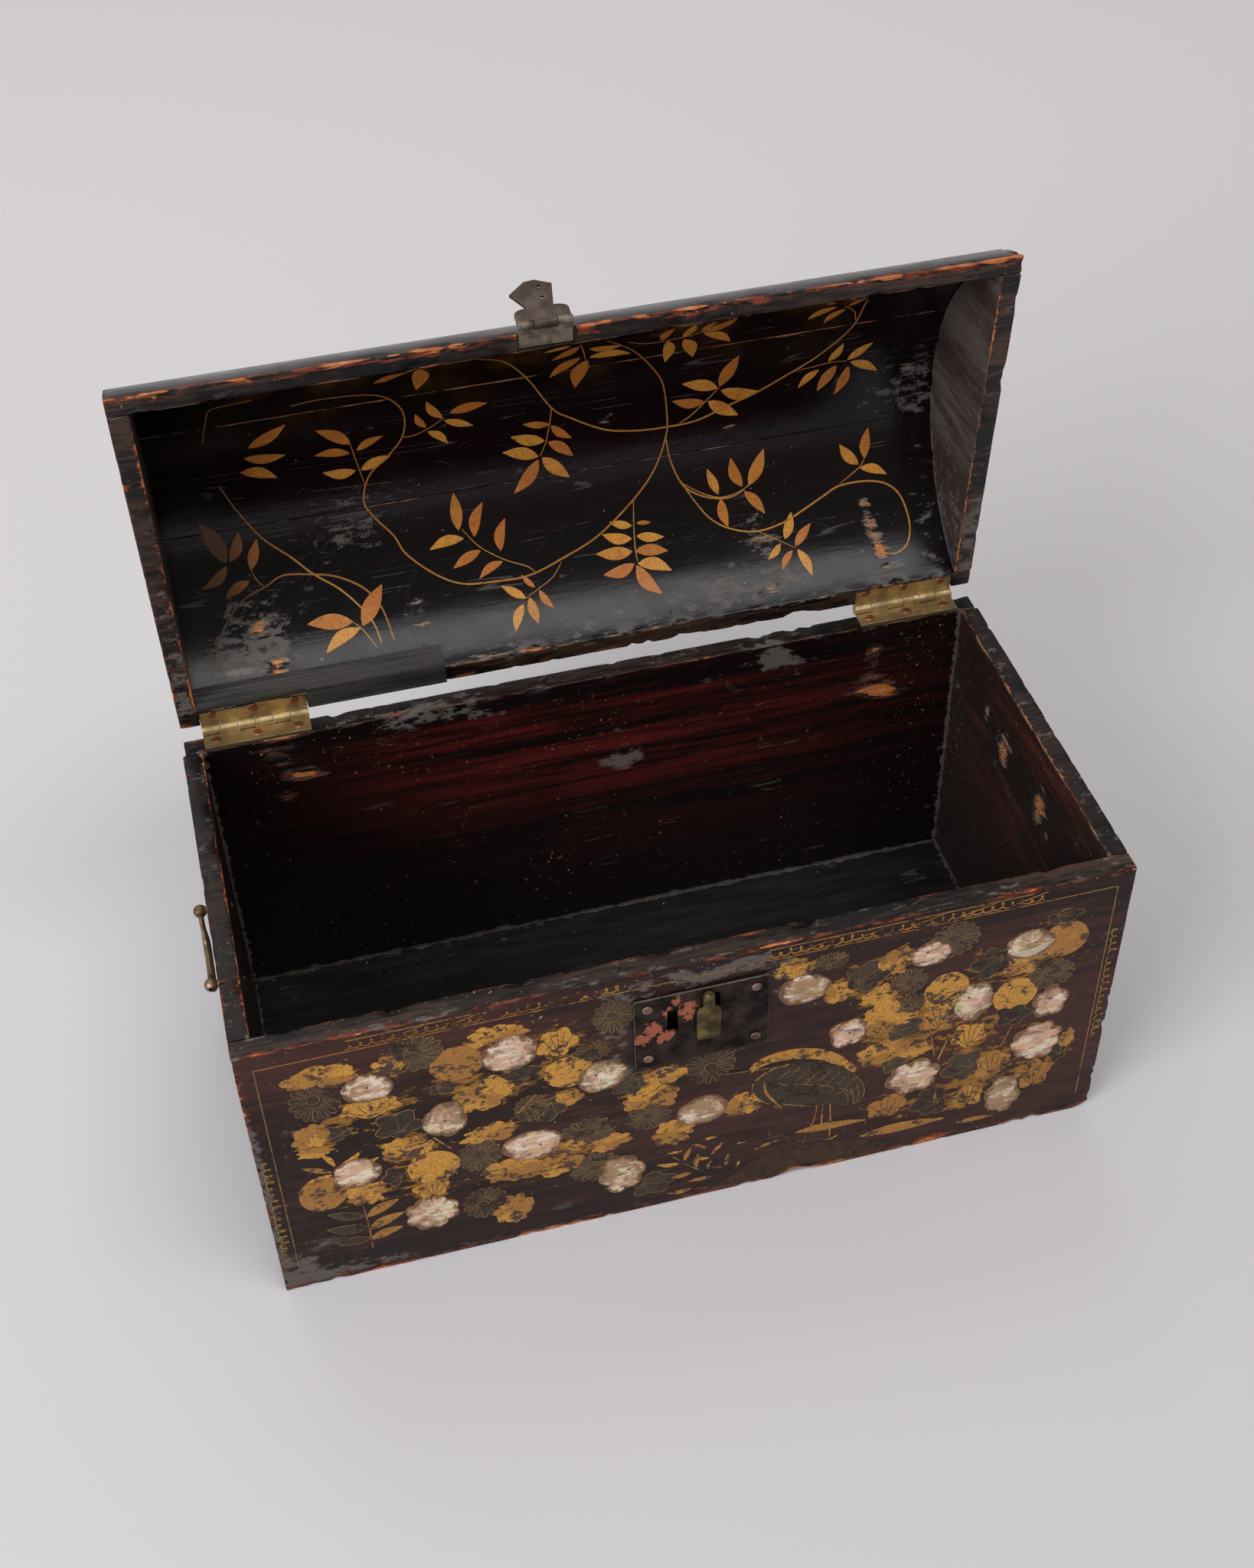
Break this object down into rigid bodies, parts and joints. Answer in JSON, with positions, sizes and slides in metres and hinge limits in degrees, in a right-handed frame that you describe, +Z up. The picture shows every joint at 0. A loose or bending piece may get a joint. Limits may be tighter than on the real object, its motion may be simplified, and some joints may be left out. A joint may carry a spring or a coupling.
{
  "type": "lacquer coffer",
  "caption": "Rectangular lacquered wooden coffer with a hinged barrel lid, brass butt hinges, end bails, and a front lock with a swinging keyhole cover and a hasp.",
  "frame": {"origin": "centre of the underside", "axes": "+X along the width, front towards -Y, +Z up"},
  "size_m": [0.4684, 0.297, 0.4291],
  "materials": {
    "black_lacquer": "worn black lacquer with gold ornament",
    "red_black_lacquer": "worn red-black lacquer",
    "bare_wood": "bare grey wood",
    "brass": "dull old brass",
    "copper_screws": "copper-coloured slotted screws",
    "worn_iron": "worn dark iron with copper-coloured patches",
    "spring_steel": "plain"
  },
  "bodies": {
    "carcase": {"back_board": "red_black_lacquer", "bottom_board": "red_black_lacquer", "front_board": "black_lacquer", "keyhole_cover_rivet": "brass", "left_end_board": "red_black_lacquer", "left_handle_back_post": "brass", "left_handle_front_post": "brass", "left_hinge_body_leaf": "brass", "left_hinge_body_screw_1": "copper_screws", "left_hinge_body_screw_2": "copper_screws", "left_hinge_body_screw_3": "copper_screws", "left_hinge_pin": "brass", "lock_case": "worn_iron", "lock_plate": "worn_iron", "lock_plate_screw_1": "worn_iron", "lock_plate_screw_2": "worn_iron", "lock_plate_screw_3": "worn_iron", "lock_plate_screw_4": "worn_iron", "lock_spring": "spring_steel", "right_end_board": "red_black_lacquer", "right_handle_back_post": "brass", "right_handle_front_post": "brass", "right_hinge_body_leaf": "brass", "right_hinge_body_screw_1": "copper_screws", "right_hinge_body_screw_2": "copper_screws", "right_hinge_body_screw_3": "copper_screws", "right_hinge_pin": "brass"},
    "lid": {"hasp_leaf": "worn_iron", "hasp_leaf_nail_1": "worn_iron", "hasp_leaf_nail_2": "worn_iron", "hasp_pin": "worn_iron", "left_hinge_lid_leaf": "brass", "left_hinge_lid_screw_1": "copper_screws", "left_hinge_lid_screw_2": "copper_screws", "left_hinge_lid_screw_3": "copper_screws", "lid_back_stave": "black_lacquer", "lid_crown_stave": "black_lacquer", "lid_front_stave": "black_lacquer", "lid_left_end": "black_lacquer", "lid_repair_strip": "bare_wood", "lid_right_end": "black_lacquer", "right_hinge_lid_leaf": "brass", "right_hinge_lid_screw_1": "copper_screws", "right_hinge_lid_screw_2": "copper_screws", "right_hinge_lid_screw_3": "copper_screws"},
    "hasp": {"hasp_tongue": "worn_iron"},
    "keyhole_cover": {"keyhole_cover": "brass"},
    "lock_bolt": {"lock_bolt": "worn_iron"},
    "left_bail": {"left_bail": "brass"},
    "right_bail": {"right_bail": "brass"}
  },
  "joints": [
    {"name": "lid_hinge", "type": "hinge", "parent": "carcase", "child": "lid", "pos_m": [0, 0.11375, 0.1948], "axis": [-1, 0, 0], "range_deg": [-85.7, 0]},
    {"name": "hasp_hinge", "type": "hinge", "parent": "lid", "child": "hasp", "pos_m": [-0.017, 0.09415, 0.42226], "axis": [-1, 0, 0], "range_deg": [-164, 30]},
    {"name": "keyhole_cover_swing", "type": "hinge", "parent": "carcase", "child": "keyhole_cover", "pos_m": [0.003, -0.11525, 0.1685], "axis": [0, -1, 0], "range_deg": [-60, 60]},
    {"name": "lock_bolt_slide", "type": "slide", "parent": "carcase", "child": "lock_bolt", "axis": [1, 0, 0], "range_m": [0, 0.008]},
    {"name": "left_bail_hinge", "type": "hinge", "parent": "carcase", "child": "left_bail", "pos_m": [-0.2306, 0, 0.15], "axis": [0, 1, 0], "range_deg": [-10, 110]},
    {"name": "right_bail_hinge", "type": "hinge", "parent": "carcase", "child": "right_bail", "pos_m": [0.2306, 0, 0.15], "axis": [0, -1, 0], "range_deg": [-10, 110]}
  ]
}
